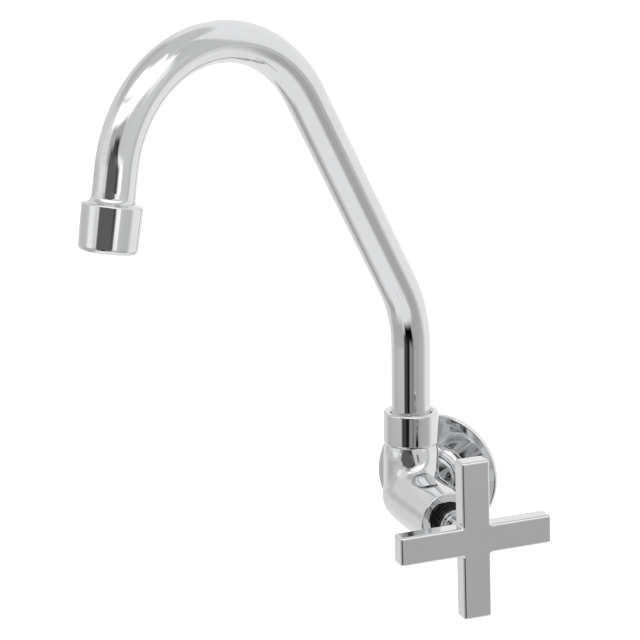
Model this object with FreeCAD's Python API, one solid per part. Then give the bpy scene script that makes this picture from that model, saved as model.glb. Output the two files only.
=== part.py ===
import FreeCAD, Part
import math
import os

from FreeCAD import Placement, Rotation, Vector

# Wall-mounted single tap with a swivelling swan-neck spout and a cross handle.
# Millimetres. +Z is up, the wall is the plane y = 0 and the user stands on the -Y side.
# The origin is where the inlet's axis meets the wall.

# ---------------------------------------------------------------- driving dimensions
WALL_TO_BODY = 39.2        # wall to the crossing of the inlet, valve and spout axes
SPOUT_TURN = -24.26        # spout's turn from straight out of the wall, as photographed
VALVE_TURN = 44.5          # valve's turn from straight out of the wall, to the right

# valve body
BARREL_BACK_R = 14.2       # round back end, centred a little in front of the body's centre
BARREL_BACK = 0.5
BELLY_R = 15.0             # widest place of the barrel, and the large arc that its side follows
BELLY = 19.53
BELLY_ARC_R = 240.0
BARREL_END = 44.5          # mouth of the barrel, from the body's centre
BARREL_EDGE = 0.6
SOCKET_R = 13.4
SOCKET_TOP = 26.8
SOCKET_TOP_R = 12.3
SOCKET_TAPER_START = 22.6
SOCKET_BLEND = 8.5         # soft fillet where the socket rises from the barrel
NECK_R = 11.65
NECK_BLEND = 2.0
NECK_END = 0.6             # neck stops this far in front of the wall
SHANK_R = 10.48            # half-inch pipe thread, outside
SHANK_END = 16.0           # behind the wall plane
SHANK_CHAMFER = 1.0
INLET_BORE_R = 6.5
SEAT_PASSAGE_R = 5.0
SEAT = 11.0                # seat that the valve's rubber seal presses on
SKIRT_BORE_R = 9.6
SKIRT_BORE_END = 27.5
HOUSING_THREAD_R = 10.48
SEAL_POCKET_R = 11.25
SEAL_POCKET_START = 35.3
MOUTH_START = 37.5
MOUTH_R = 12.05
SOCKET_BORE_R = 9.76
SOCKET_FLOOR = 14.0
PORT_R = 3.2
PORT_TOP = (3.0, 15.0)     # along the valve axis, and up
PORT_BOTTOM = (17.0, 7.5)
SOCKET_THREAD_R = 11.7
SOCKET_THREAD_END = 37.6

# wall flange
FLANGE_R = 31.5
FLANGE_RIM_INNER_R = 27.9
FLANGE_RIM_HEIGHT = 4.1
FLANGE_DISH_R = 27.2       # foot of the rim's inner step
FLANGE_DISH_HEIGHT = 3.4
FLANGE_LOW_R = 21.5        # lowest place of the dish
FLANGE_LOW_HEIGHT = 2.95
FLANGE_COLLAR_R = 12.4
FLANGE_COLLAR_FILLET = 4.3
FLANGE_COLLAR_HEIGHT = 8.6
FLANGE_HOLE_R = 11.75
FLANGE_SHEET = 1.2
GASKET_R = (27.9, 29.4)
GASKET_FRONT = 2.5
FLANGE_SEAL_SECTION_R = 0.85
FLANGE_SEAL_PLACE = 2.2

# nut round the foot of the spout
NUT_R = 13.39
NUT_BOTTOM = 27.1
NUT_TOP = 43.0
NUT_BORE_R = 11.75
NUT_LIP_START = 40.0
NUT_LIP_R = 9.93
NUT_COUNTERSINK = 1.2

# swan-neck spout
TUBE_R = 9.525             # 19.05 mm tube
TUBE_WALL = 1.2
TUBE_START = 41.2
FOOT_BEND_START = 74.5
FOOT_BEND_R = 62.8
LEAN = 30.96
LEAN_LENGTH = 112.07
ARCH_R = 58.42
OUTLET_TILT = 9.73
OUTLET_STRAIGHT = 10.14

# ferrule in the foot of the tube
FERRULE_R = 9.70
FERRULE_START = 15.1
FERRULE_BORE_R = 6.9
FERRULE_CLIP_GROOVE = (37.7, 39.9)
FERRULE_CLIP_GROOVE_R = 8.7
FERRULE_TOP = 50.0
SPOUT_SEAL_HEIGHTS = (19.8, 25.8)
SPOUT_SEAL_GROOVE_R = 7.9
SPOUT_SEAL_GROOVE_WIDTH = 2.6

# outlet fitting and aerator, measured along the outlet from the end of the tube
ADAPTER_SPIGOT = 8.0
ADAPTER_FLARE = 5.0
ADAPTER_FLARE_R = 11.7
ADAPTER_THREAD_R = 11.9
ADAPTER_END = 13.3
ADAPTER_BORE_R = 7.0
AERATOR_START = 5.0
AERATOR_LENGTH = 20.8
AERATOR_TOP_R = 13.45
AERATOR_BOTTOM_R = 12.95
AERATOR_TOP_EDGE = 1.0
AERATOR_BOTTOM_EDGE = 2.5
AERATOR_BORE_R = 12.0
AERATOR_LEDGE = 11.5       # ledge for the insert, from the housing's top
AERATOR_LEDGE_R = 11.2
AERATOR_LIP = 2.1
AERATOR_LIP_R = 10.2
AERATOR_CELL = 2.9         # pitch of the honeycomb
AERATOR_CELL_WALL = 0.5

# valve housing, measured along the valve axis from the body's centre
HOUSING_START = 12.2
HOUSING_SKIRT_R = 9.2
HOUSING_CHAMBER_R = 7.6
HOUSING_CHAMBER_END = 25.0
HOUSING_STOP_END = 27.4
HOUSING_FLANGE_END = 39.8
HOUSING_FLANGE_R = 11.9
HOUSING_HEX_AF = 17.0
HOUSING_HEX_END = 42.2
HOUSING_NECK_R = 6.3
HOUSING_NECK_END = 50.3
HOUSING_SLOT_WIDTH = 8.0
HOUSING_SLOT_END = 23.5

# spindle and discs
SPINDLE_R = 4.0
SPINDLE_BORE_R = 4.06
SPINDLE_FOOT_R = 7.4
SPINDLE_FOOT_END = 24.2
SPINDLE_NOSE_R = 3.3
SPINDLE_END = 66.0
SPINDLE_SEAL_PLACES = (32.0, 37.0)
SPINDLE_SEAL_GROOVE_R = 2.9
SPINDLE_SEAL_GROOVE_WIDTH = 1.3
CLIP_GROOVE = (50.45, 51.35)
CLIP_GROOVE_R = 3.3
SPLINE_START = 52.0
SPLINE_END = 60.0
SPLINE_TEETH = 20
SPLINE_DEPTH = 0.35
LUG_HALF_ANGLE = 20.0
STOP_MARGIN = 2.0          # turn left over at each stop
HANDLE_TRAVEL = 90.0
FIXED_DISC = (14.0, 16.4)
MOVING_DISC = (16.42, 18.8)
DISC_R = 7.3
PORT_HALF_ANGLE = 38.0
PORT_INNER_R = 1.6
PORT_OUTER_R = 5.6

# rings in the barrel's mouth
TRIM_RING_START = 42.4
TRIM_RING_BORE_R = 8.85
TRIM_RING_EDGE = 0.7
DUST_RING_R = 8.7
DUST_RING_END = 49.9
DUST_RING_BORE_R = 6.4

# cross handle
CROSS_SPAN = 75.9
CROSS_ARM_WIDTH = 13.8
CROSS_THICKNESS = 8.7
CROSS_FRONT = 76.4
CROSS_ROLL = 1.38
CROSS_INNER_CORNER = 0.9
CROSS_EDGE = 1.2
HUB_R = 6.05
HUB_FLANGE_R = 8.8
HUB_START = 50.9
HUB_FLANGE_END = 52.4
HUB_CLIP_RECESS = (51.7, 6.8)
SET_SCREW_R = 2.0
SET_SCREW_PLACE = 63.2
SET_SCREW_TIP_R = 2.9
SET_SCREW_HEX_AF = 2.0

# ---------------------------------------------------------------- frames
CENTRE = Vector(0, -WALL_TO_BODY, 0)
UP = Placement(CENTRE, Rotation())
turn = math.radians(VALVE_TURN)
VALVE_AXIS = Vector(math.sin(turn), -math.cos(turn), 0)
VALVE_SIDE = Vector(math.cos(turn), math.sin(turn), 0)
VALVE = Placement(CENTRE, Rotation(VALVE_SIDE, Vector(0, 0, 1), VALVE_AXIS, "ZXY"))
WALL = Placement(Vector(0, 0, 0), Rotation(Vector(1, 0, 0), Vector(0, 0, 1), Vector(0, -1, 0), "ZXY"))
SPOUT = Placement(CENTRE, Rotation(Vector(0, 0, 1), SPOUT_TURN - 90.0))


# ---------------------------------------------------------------- shape helpers
def outline(start, *steps):
    """Closed wire of (radius, height) points; a step of four numbers is an arc through the first two."""
    edges = []
    here = Vector(start[0], 0, start[1])
    first = here
    for step in steps:
        there = Vector(step[-2], 0, step[-1])
        if len(step) == 4:
            edges.append(Part.Arc(here, Vector(step[0], 0, step[1]), there).toShape())
        else:
            edges.append(Part.makeLine(here, there))
        here = there
    edges.append(Part.makeLine(here, first))
    return Part.Wire(edges)


def turned(start, *steps):
    """Solid of revolution about the local axis."""
    face = Part.Face(outline(start, *steps))
    return face.revolve(Vector(0, 0, 0), Vector(0, 0, 1), 360)


def spun(*corners):
    """Solid of revolution whose outline runs through (radius, height, rounding) corners."""
    edges = []
    places = [Vector(x, 0, y) for x, y, _ in corners]
    ends = []
    for i, (_, _, rounding) in enumerate(corners):
        here = places[i]
        back = (places[i - 1] - here).normalize()
        ahead = (places[(i + 1) % len(places)] - here).normalize()
        half = back.getAngle(ahead) / 2
        run = rounding / math.tan(half)
        middle = here + (back + ahead).normalize() * rounding * (1 / math.sin(half) - 1)
        ends.append((here + back * run, middle, here + ahead * run))
    for i, (start, middle, end) in enumerate(ends):
        edges.append(Part.makeLine(ends[i - 1][2], start))
        edges.append(Part.Arc(start, middle, end).toShape())
    return Part.Face(Part.Wire(edges)).revolve(Vector(0, 0, 0), Vector(0, 0, 1), 360)


def tube(outer, inner, low, high):
    """Plain ring between two radii and two heights."""
    return turned((inner, low), (outer, low), (outer, high), (inner, high))


def rod(radius, low, high):
    return Part.makeCylinder(radius, high - low, Vector(0, 0, low))


def seal_ring(middle_r, section_r, height):
    return Part.makeTorus(middle_r, section_r, Vector(0, 0, height))


def sector(inner, outer, low, high, middle_angle, half_angle):
    """Part of a ring, centred on one angle."""
    ring = Part.makeCylinder(outer, high - low, Vector(0, 0, low), Vector(0, 0, 1), 2 * half_angle)
    ring.rotate(Vector(0, 0, 0), Vector(0, 0, 1), middle_angle - half_angle)
    return ring.cut(rod(inner, low - 1, high + 1))


def block(width, depth, low, high, middle_x=0.0, middle_y=0.0):
    corner = Vector(middle_x - width / 2, middle_y - depth / 2, low)
    return Part.makeBox(width, depth, high - low, corner)


def prism(points, low, high):
    corners = [Vector(x, y, low) for x, y in points]
    return Part.Face(Part.makePolygon(corners + corners[:1])).extrude(Vector(0, 0, high - low))


def ring_points(count, radius, start_angle=0.0):
    step = 360.0 / count
    angles = [math.radians(start_angle + step * i) for i in range(count)]
    return [(radius * math.cos(a), radius * math.sin(a)) for a in angles]


def hexagon(across_flats, low, high):
    return prism(ring_points(6, across_flats / math.sqrt(3)), low, high)


def spline(outer, low, high):
    """Toothed rod of V-shaped teeth."""
    points = []
    for i in range(SPLINE_TEETH):
        for half, radius in ((0.0, outer), (0.5, outer - SPLINE_DEPTH)):
            a = math.radians((i + half) * 360.0 / SPLINE_TEETH)
            points.append((radius * math.cos(a), radius * math.sin(a)))
    return prism(points, low, high)


def save(name, shape, frame):
    """Put a shape made about its own axis where it belongs and write it to its file."""
    placed = shape.copy()
    placed.Placement = frame.multiply(placed.Placement)
    placed.exportStep("parts/%s.step" % name)
    print("%-18s solids %d valid %s %9.1f mm3" % (name, len(placed.Solids), placed.isValid(), placed.Volume))


def in_frame(shape, frame):
    moved = shape.copy()
    moved.Placement = frame.multiply(moved.Placement)
    return moved


# ---------------------------------------------------------------- cast valve body
def edges_within(shape, test):
    return [edge for edge in shape.Edges if not edge.Degenerated and test(edge)]


def side_of_barrel(along):
    """Radius of the barrel at a place on its axis, in front of its round back."""
    return BELLY_R - BELLY_ARC_R + math.sqrt(BELLY_ARC_R ** 2 - (along - BELLY) ** 2)


def body_outside():
    """Barrel with a round back end, spout socket rising from it, and neck back to the wall."""
    reach = BELLY_ARC_R - BARREL_BACK_R
    meet_at = BARREL_BACK - (BELLY - BARREL_BACK) * BARREL_BACK_R / reach
    meet_r = side_of_barrel(meet_at)
    back_r = BARREL_BACK_R * math.sqrt(0.5)
    lip = BARREL_END - BARREL_EDGE
    lip_r = side_of_barrel(lip)
    corner = BARREL_EDGE * (1 - math.sqrt(0.5))
    barrel = turned(
        (0, BARREL_BACK - BARREL_BACK_R),
        (back_r, BARREL_BACK - back_r, meet_r, meet_at),
        (BELLY_R, BELLY, lip_r, lip),
        (lip_r - corner, BARREL_END - corner, lip_r - BARREL_EDGE, BARREL_END),
        (0, BARREL_END),
    )
    taper = SOCKET_R - SOCKET_TOP_R
    socket = turned(
        (0, 0),
        (SOCKET_R, 0),
        (SOCKET_R, SOCKET_TAPER_START),
        (SOCKET_R - taper / 4, (SOCKET_TAPER_START + SOCKET_TOP) / 2, SOCKET_TOP_R, SOCKET_TOP),
        (0, SOCKET_TOP),
    )
    elbow = in_frame(barrel, VALVE).fuse(in_frame(socket, UP))

    def on_socket(edge):
        points = edge.discretize(9)
        radii = [math.hypot(p.x - CENTRE.x, p.y - CENTRE.y) for p in points]
        return all(abs(r - SOCKET_R) < 0.01 and p.z < SOCKET_TAPER_START - 1 for r, p in zip(radii, points))

    elbow = elbow.makeFillet(SOCKET_BLEND, edges_within(elbow, on_socket))
    neck = in_frame(rod(NECK_R, NECK_END, WALL_TO_BODY), WALL)
    whole = elbow.fuse(neck)

    def on_neck(edge):
        points = edge.discretize(9)
        return all(abs(math.hypot(p.x, p.z) - NECK_R) < 0.01 and p.y < -NECK_END - 1 for p in points)

    return whole.makeFillet(NECK_BLEND, edges_within(whole, on_neck))


def body():
    thread_end = SHANK_END - SHANK_CHAMFER
    shank = turned(
        (0, NECK_END + 1),
        (SHANK_R, NECK_END + 1),
        (SHANK_R, -thread_end),
        (SHANK_R - SHANK_CHAMFER, -SHANK_END),
        (0, -SHANK_END),
    )
    top_thread = turned(
        (0, SOCKET_TOP - 1),
        (SOCKET_THREAD_R, SOCKET_TOP - 1),
        (SOCKET_THREAD_R, SOCKET_THREAD_END - 0.6),
        (SOCKET_THREAD_R - 0.6, SOCKET_THREAD_END),
        (0, SOCKET_THREAD_END),
    )
    solid = body_outside().fuse([in_frame(shank, WALL), in_frame(top_thread, UP)])

    inlet = in_frame(rod(INLET_BORE_R, -SHANK_END - 1, WALL_TO_BODY), WALL)
    elbow = Part.makeSphere(INLET_BORE_R, CENTRE)
    cartridge = turned(
        (0, 0),
        (SEAT_PASSAGE_R, 0),
        (SEAT_PASSAGE_R, SEAT),
        (SKIRT_BORE_R, SEAT),
        (SKIRT_BORE_R, SKIRT_BORE_END),
        (HOUSING_THREAD_R, SKIRT_BORE_END),
        (HOUSING_THREAD_R, SEAL_POCKET_START),
        (SEAL_POCKET_R, SEAL_POCKET_START),
        (SEAL_POCKET_R, MOUTH_START),
        (MOUTH_R, MOUTH_START),
        (MOUTH_R, BARREL_END + 1),
        (0, BARREL_END + 1),
    )
    socket = rod(SOCKET_BORE_R, SOCKET_FLOOR, SOCKET_THREAD_END + 1)
    top = CENTRE + VALVE_AXIS * PORT_TOP[0] + Vector(0, 0, PORT_TOP[1])
    bottom = CENTRE + VALVE_AXIS * PORT_BOTTOM[0] + Vector(0, 0, PORT_BOTTOM[1])
    port = Part.makeCylinder(PORT_R, (bottom - top).Length, top, bottom - top)
    hollow = [inlet, elbow, in_frame(cartridge, VALVE), in_frame(socket, UP), port]
    return solid.cut(hollow).removeSplitter()


# ---------------------------------------------------------------- wall flange and its seals
def wall_flange():
    """Spun sheet: a flat rim with rolled edges, a shallow dish inside it, and a collar round the neck."""
    rim = FLANGE_RIM_HEIGHT
    rim_under = rim - FLANGE_SHEET
    rim_skirt_r = FLANGE_R - FLANGE_SHEET
    dish_under = FLANGE_LOW_HEIGHT - FLANGE_SHEET
    return spun(
        (FLANGE_R - 0.9, 0, 0.15),
        (FLANGE_R, 1.4, 1.0),
        (FLANGE_R, rim, 0.9),
        (FLANGE_RIM_INNER_R, rim - 0.05, 0.3),
        (FLANGE_DISH_R, FLANGE_DISH_HEIGHT, 0.5),
        (FLANGE_LOW_R, FLANGE_LOW_HEIGHT, 100),
        (FLANGE_COLLAR_R, FLANGE_LOW_HEIGHT + 0.1, FLANGE_COLLAR_FILLET),
        (FLANGE_COLLAR_R, FLANGE_COLLAR_HEIGHT, 0.4),
        (FLANGE_HOLE_R, FLANGE_COLLAR_HEIGHT, 0.1),
        (FLANGE_HOLE_R, dish_under, FLANGE_COLLAR_FILLET),
        (FLANGE_DISH_R - 0.8, dish_under, 0.6),
        (FLANGE_RIM_INNER_R + 0.2, rim_under, 0.3),
        (rim_skirt_r, rim_under, 0.3),
        (rim_skirt_r, 1.6, 0.3),
        (rim_skirt_r - 0.7, 0, 0.1),
    )


# ---------------------------------------------------------------- valve parts
def valve_housing():
    """Turned brass housing: slotted skirt, thread, flange, hexagon and a neck round the spindle."""
    solid = turned(
        (SPINDLE_BORE_R, HOUSING_CHAMBER_END),
        (HOUSING_CHAMBER_R, HOUSING_CHAMBER_END),
        (HOUSING_CHAMBER_R, HOUSING_START),
        (HOUSING_SKIRT_R, HOUSING_START),
        (HOUSING_SKIRT_R, SKIRT_BORE_END + 0.5),
        (HOUSING_THREAD_R - 0.06, SKIRT_BORE_END + 1.2),
        (HOUSING_THREAD_R - 0.06, SEAL_POCKET_START),
        (HOUSING_SKIRT_R, SEAL_POCKET_START),
        (HOUSING_SKIRT_R, MOUTH_START),
        (HOUSING_FLANGE_R, MOUTH_START),
        (HOUSING_FLANGE_R, HOUSING_FLANGE_END),
        (HOUSING_NECK_R, HOUSING_FLANGE_END),
        (HOUSING_NECK_R, HOUSING_NECK_END),
        (SPINDLE_BORE_R, HOUSING_NECK_END),
    )
    spanner_hex = hexagon(HOUSING_HEX_AF, HOUSING_FLANGE_END, HOUSING_HEX_END)
    solid = solid.fuse(spanner_hex.cut(rod(HOUSING_NECK_R, HOUSING_FLANGE_END - 1, HOUSING_HEX_END + 1)))
    slot = block(3 * HOUSING_SKIRT_R, HOUSING_SLOT_WIDTH, HOUSING_START - 1, HOUSING_SLOT_END)
    free = LUG_HALF_ANGLE + STOP_MARGIN + HANDLE_TRAVEL / 2
    lug_path = sector(SPINDLE_BORE_R - 1, 6.9, HOUSING_CHAMBER_END - 0.5, HOUSING_STOP_END, HANDLE_TRAVEL / 2, free)
    return solid.cut([slot, lug_path]).removeSplitter()


def ceramic_disc(blank, span, port_angle):
    """Lapped disc with two opposite water ports."""
    low, high = span
    ports = [
        sector(PORT_INNER_R, PORT_OUTER_R, low - 1, high + 1, port_angle + side, PORT_HALF_ANGLE)
        for side in (0.0, 180.0)
    ]
    return blank.cut(ports).removeSplitter()


def fixed_disc():
    """Fixed disc, with ears that sit in the housing's two slots."""
    low, high = FIXED_DISC
    ears = block(2 * HOUSING_SKIRT_R - 0.4, HOUSING_SLOT_WIDTH - 0.2, low, high)
    blank = ears.common(rod(HOUSING_SKIRT_R, low, high)).fuse(rod(DISC_R, low, high))
    return ceramic_disc(blank, FIXED_DISC, 0.0)


def moving_disc():
    """Turning disc, closed at rest, with two notches that the spindle's foot drives."""
    low, high = MOVING_DISC
    notches = [block(2.4, 2.4, high - 1.3, high + 1, x, 0) for x in (-DISC_R + 0.4, DISC_R - 0.4)]
    return ceramic_disc(rod(DISC_R, low, high), MOVING_DISC, 90.0).cut(notches)


def spindle():
    """Spindle: windowed foot that drives the disc, stop lug, sealed shaft, splined end and nose."""
    foot_start = MOVING_DISC[1]
    foot = rod(SPINDLE_FOOT_R, foot_start, SPINDLE_FOOT_END)
    cavity = rod(PORT_OUTER_R, foot_start - 1, SPINDLE_FOOT_END - 1.6)
    windows = block(9.0, 3 * SPINDLE_FOOT_R, foot_start - 1, SPINDLE_FOOT_END - 1.6)
    drive = [block(2.2, 2.2, foot_start - 1.1, foot_start + 0.5, x, 0) for x in (-DISC_R + 0.5, DISC_R - 0.5)]
    within = rod(SPINDLE_FOOT_R, foot_start - 2, SPINDLE_FOOT_END)
    foot = foot.cut([cavity, windows]).fuse([tooth.common(within) for tooth in drive])
    lug = sector(SPINDLE_R - 1, 6.7, SPINDLE_FOOT_END - 0.5, HOUSING_STOP_END - 0.2, 0.0, LUG_HALF_ANGLE)
    shaft = turned(
        (0, SPINDLE_FOOT_END - 1),
        (SPINDLE_R, SPINDLE_FOOT_END - 1),
        *seal_grooves(SPINDLE_R, SPINDLE_SEAL_PLACES, SPINDLE_SEAL_GROOVE_R, SPINDLE_SEAL_GROOVE_WIDTH),
        (SPINDLE_R, CLIP_GROOVE[0]),
        (CLIP_GROOVE_R, CLIP_GROOVE[0]),
        (CLIP_GROOVE_R, CLIP_GROOVE[1]),
        (SPINDLE_R - SPLINE_DEPTH, CLIP_GROOVE[1]),
        (SPINDLE_R - SPLINE_DEPTH, SPLINE_START + 0.5),
        (SPINDLE_NOSE_R, SPLINE_START + 0.5),
        (SPINDLE_NOSE_R, SPINDLE_END - 0.6),
        (SPINDLE_NOSE_R - 0.6, SPINDLE_END),
        (0, SPINDLE_END),
    )
    teeth = spline(SPINDLE_R, SPLINE_START, SPLINE_END)
    solid = foot.fuse([lug, shaft, teeth])
    flat = block(8, 3, SET_SCREW_PLACE - 2.3, SPINDLE_END + 1, 0, -SET_SCREW_TIP_R - 1.5)
    return solid.cut(flat).removeSplitter()


def seal_grooves(outer, places, bottom, width):
    """Steps of a turned outline that cut one square groove at each place."""
    steps = []
    for place in places:
        low = place - width / 2
        high = place + width / 2
        steps += [(outer, low), (bottom, low), (bottom, high), (outer, high)]
    return steps


def friction_washer():
    """Slippery washer between the spindle's foot and the housing, notched for the stop lug."""
    washer = tube(7.3, SPINDLE_R + 0.05, SPINDLE_FOOT_END, HOUSING_CHAMBER_END - 0.1)
    return washer.cut(sector(3.0, 8.0, SPINDLE_FOOT_END - 1, HOUSING_CHAMBER_END + 1, 0.0, LUG_HALF_ANGLE + 1))


def spindle_clip():
    """Spring clip in the spindle's groove, just above the housing's neck."""
    clip = tube(5.6, CLIP_GROOVE_R + 0.03, CLIP_GROOVE[0] + 0.05, CLIP_GROOVE[1] - 0.05)
    return clip.cut(block(4.4, 8, CLIP_GROOVE[0] - 1, CLIP_GROOVE[1] + 1, 0, 5))


def seat_seal():
    """Lipped rubber seal pressed between the body's seat and the fixed disc."""
    return turned(
        (5.3, SEAT),
        (6.9, SEAT),
        (7.5, SEAT + 0.8),
        (7.5, FIXED_DISC[0]),
        (6.0, FIXED_DISC[0]),
        (5.3, FIXED_DISC[0] - 0.8),
    )


def trim_ring():
    """Polished ring that closes the barrel's mouth round the black ring."""
    outer = MOUTH_R - 0.03
    return spun(
        (TRIM_RING_BORE_R, TRIM_RING_START, 0.1),
        (outer, TRIM_RING_START, 0.1),
        (outer, BARREL_END, 0.1),
        (TRIM_RING_BORE_R, BARREL_END, TRIM_RING_EDGE),
    )


def dust_ring():
    """Black grooved ring between the barrel and the handle's hub."""
    outer = DUST_RING_R
    return turned(
        (DUST_RING_BORE_R, HOUSING_HEX_END + 0.1),
        (outer, HOUSING_HEX_END + 0.1),
        (outer, 46.7),
        (outer - 0.8, 47.0),
        (outer - 0.8, 47.7),
        (outer, 48.0),
        (outer, DUST_RING_END - 0.5),
        (outer - 0.5, DUST_RING_END),
        (DUST_RING_BORE_R, DUST_RING_END),
    )


# ---------------------------------------------------------------- cross handle
def cross_handle():
    """Flat square-cut cross on a round hub with a flange, splined inside."""
    back = CROSS_FRONT - CROSS_THICKNESS
    half = CROSS_SPAN / 2
    arm = CROSS_ARM_WIDTH / 2
    quarter = [(half, -arm), (half, arm), (arm, arm)]
    points = []
    for i in range(4):
        c = round(math.cos(i * math.pi / 2))
        s = round(math.sin(i * math.pi / 2))
        points += [(c * x - s * y, s * x + c * y) for x, y in quarter]
    cross = prism(points, back, CROSS_FRONT)

    def upright(edge):
        ends = edge.Vertexes
        return abs(ends[0].X - ends[1].X) < 0.01 and abs(ends[0].Y - ends[1].Y) < 0.01

    inner = [e for e in cross.Edges if upright(e) and abs(abs(e.Vertexes[0].X) - arm) < 0.01
             and abs(abs(e.Vertexes[0].Y) - arm) < 0.01]
    cross = cross.makeFillet(CROSS_INNER_CORNER, inner)
    outer = [e for e in cross.Edges if upright(e) and e.Vertexes[0].Point.distanceToPoint(
        Vector(0, 0, e.Vertexes[0].Z)) > half - 1]
    cross = cross.makeFillet(CROSS_EDGE, outer)
    rims = [e for e in cross.Edges if abs(e.BoundBox.ZMax - e.BoundBox.ZMin) < 0.01]
    cross = cross.makeFillet(CROSS_EDGE * 0.9, rims)
    cross.rotate(Vector(0, 0, 0), Vector(0, 0, 1), CROSS_ROLL)

    hub = turned(
        (0, HUB_START),
        (HUB_FLANGE_R - 0.3, HUB_START),
        (HUB_FLANGE_R, HUB_START + 0.3),
        (HUB_FLANGE_R, HUB_FLANGE_END - 0.4),
        (HUB_FLANGE_R - 0.12, HUB_FLANGE_END - 0.12, HUB_FLANGE_R - 0.4, HUB_FLANGE_END),
        (HUB_R + 0.5, HUB_FLANGE_END),
        (HUB_R + 0.15, HUB_FLANGE_END + 0.15, HUB_R, HUB_FLANGE_END + 0.5),
        (HUB_R, back - 1.2),
        (HUB_R + 0.35, back - 0.35, HUB_R + 1.2, back),
        (HUB_R + 1.2, back + 1),
        (0, back + 1),
    )
    recess_end, recess_r = HUB_CLIP_RECESS
    hollow = [
        rod(recess_r, HUB_START - 1, recess_end),
        spline(SPINDLE_R + 0.04, HUB_START - 1, SPLINE_END + 0.2),
        rod(SPINDLE_NOSE_R + 0.05, SPLINE_END, SPINDLE_END + 0.5),
        Part.makeCylinder(SET_SCREW_R + 0.02, HUB_R + 1, Vector(0, 0, SET_SCREW_PLACE), Vector(0, -1, 0)),
    ]
    return cross.fuse(hub).cut(hollow).removeSplitter()


def handle_set_screw():
    """Headless screw with a hexagon socket, driven up from under the hub."""
    length = HUB_R - 0.2 - SET_SCREW_TIP_R
    screw = turned(
        (0, 0),
        (SET_SCREW_R - 0.5, 0),
        (SET_SCREW_R, 0.5),
        (SET_SCREW_R, length),
        (0, length),
    )
    screw = screw.cut(hexagon(SET_SCREW_HEX_AF, length - 1.6, length + 1))
    place = Vector(0, -SET_SCREW_TIP_R, SET_SCREW_PLACE)
    return in_frame(screw, Placement(place, Rotation(Vector(1, 0, 0), 90)))


# ---------------------------------------------------------------- spout
def swan_neck_path(extra=0.0):
    """Centre line of the tube in its own plane: straight foot, bend, lean, arch and outlet."""
    lean = math.radians(LEAN)
    tilt = math.radians(OUTLET_TILT)
    foot = Vector(0, 0, TUBE_START - extra)
    bend_start = Vector(0, 0, FOOT_BEND_START)
    bend_centre = Vector(FOOT_BEND_R, 0, FOOT_BEND_START)

    def on_bend(angle):
        return bend_centre + Vector(-math.cos(angle), 0, math.sin(angle)) * FOOT_BEND_R

    bend_end = on_bend(lean)
    along = Vector(math.sin(lean), 0, math.cos(lean))
    arch_start = bend_end + along * LEAN_LENGTH
    arch_centre = arch_start + Vector(math.cos(lean), 0, -math.sin(lean)) * ARCH_R

    def on_arch(angle):
        return arch_centre + Vector(-math.cos(angle), 0, math.sin(angle)) * ARCH_R

    turned_by = math.pi - tilt
    arch_end = on_arch(turned_by)
    outward = Vector(math.sin(tilt), 0, -math.cos(tilt))
    end = arch_end + outward * (OUTLET_STRAIGHT + extra)
    wire = Part.Wire([
        Part.makeLine(foot, bend_start),
        Part.Arc(bend_start, on_bend(lean / 2), bend_end).toShape(),
        Part.makeLine(bend_end, arch_start),
        Part.Arc(arch_start, on_arch((lean + turned_by) / 2), arch_end).toShape(),
        Part.makeLine(arch_end, end),
    ])
    return wire, arch_end + outward * OUTLET_STRAIGHT, outward


def swept(path, radius):
    start = path.Edges[0].Vertexes[0].Point
    circle = Part.Wire([Part.makeCircle(radius, start, Vector(0, 0, 1))])
    return path.makePipeShell([circle], True, False)


def spout_tube():
    path, _, _ = swan_neck_path()
    longer, _, _ = swan_neck_path(1.0)
    return swept(path, TUBE_R).cut(swept(longer, TUBE_R - TUBE_WALL))


def spout_ferrule():
    """Brass foot of the spout: two seal grooves, a clip groove and a spigot brazed into the tube."""
    low, high = FERRULE_CLIP_GROOVE
    return turned(
        (FERRULE_BORE_R, FERRULE_START),
        (FERRULE_R - 0.8, FERRULE_START),
        (FERRULE_R, FERRULE_START + 0.8),
        *seal_grooves(FERRULE_R, SPOUT_SEAL_HEIGHTS, SPOUT_SEAL_GROOVE_R, SPOUT_SEAL_GROOVE_WIDTH),
        (FERRULE_R, low),
        (FERRULE_CLIP_GROOVE_R, low),
        (FERRULE_CLIP_GROOVE_R, high),
        (TUBE_R, high),
        (TUBE_R, TUBE_START),
        (TUBE_R - TUBE_WALL - 0.02, TUBE_START),
        (TUBE_R - TUBE_WALL - 0.02, FERRULE_TOP),
        (FERRULE_BORE_R, FERRULE_TOP),
    )


def spout_clip_ring():
    """Split plastic ring in the ferrule's groove; the nut's lip holds it down."""
    low, high = FERRULE_CLIP_GROOVE
    ring = tube(11.4, FERRULE_CLIP_GROOVE_R + 0.05, low + 0.1, high - 0.1)
    return ring.cut(block(8, 2.0, low - 1, high + 1, -10, 0))


def spout_nut():
    return turned(
        (NUT_BORE_R, NUT_BOTTOM),
        (NUT_R - 0.4, NUT_BOTTOM),
        (NUT_R, NUT_BOTTOM + 1.3),
        (NUT_R, NUT_TOP - 1.1),
        (NUT_R - 0.32, NUT_TOP - 0.32, NUT_R - 1.1, NUT_TOP),
        (NUT_LIP_R + NUT_COUNTERSINK, NUT_TOP),
        (NUT_LIP_R, NUT_TOP - NUT_COUNTERSINK),
        (NUT_LIP_R, NUT_LIP_START),
        (NUT_BORE_R, NUT_LIP_START),
    )


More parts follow.
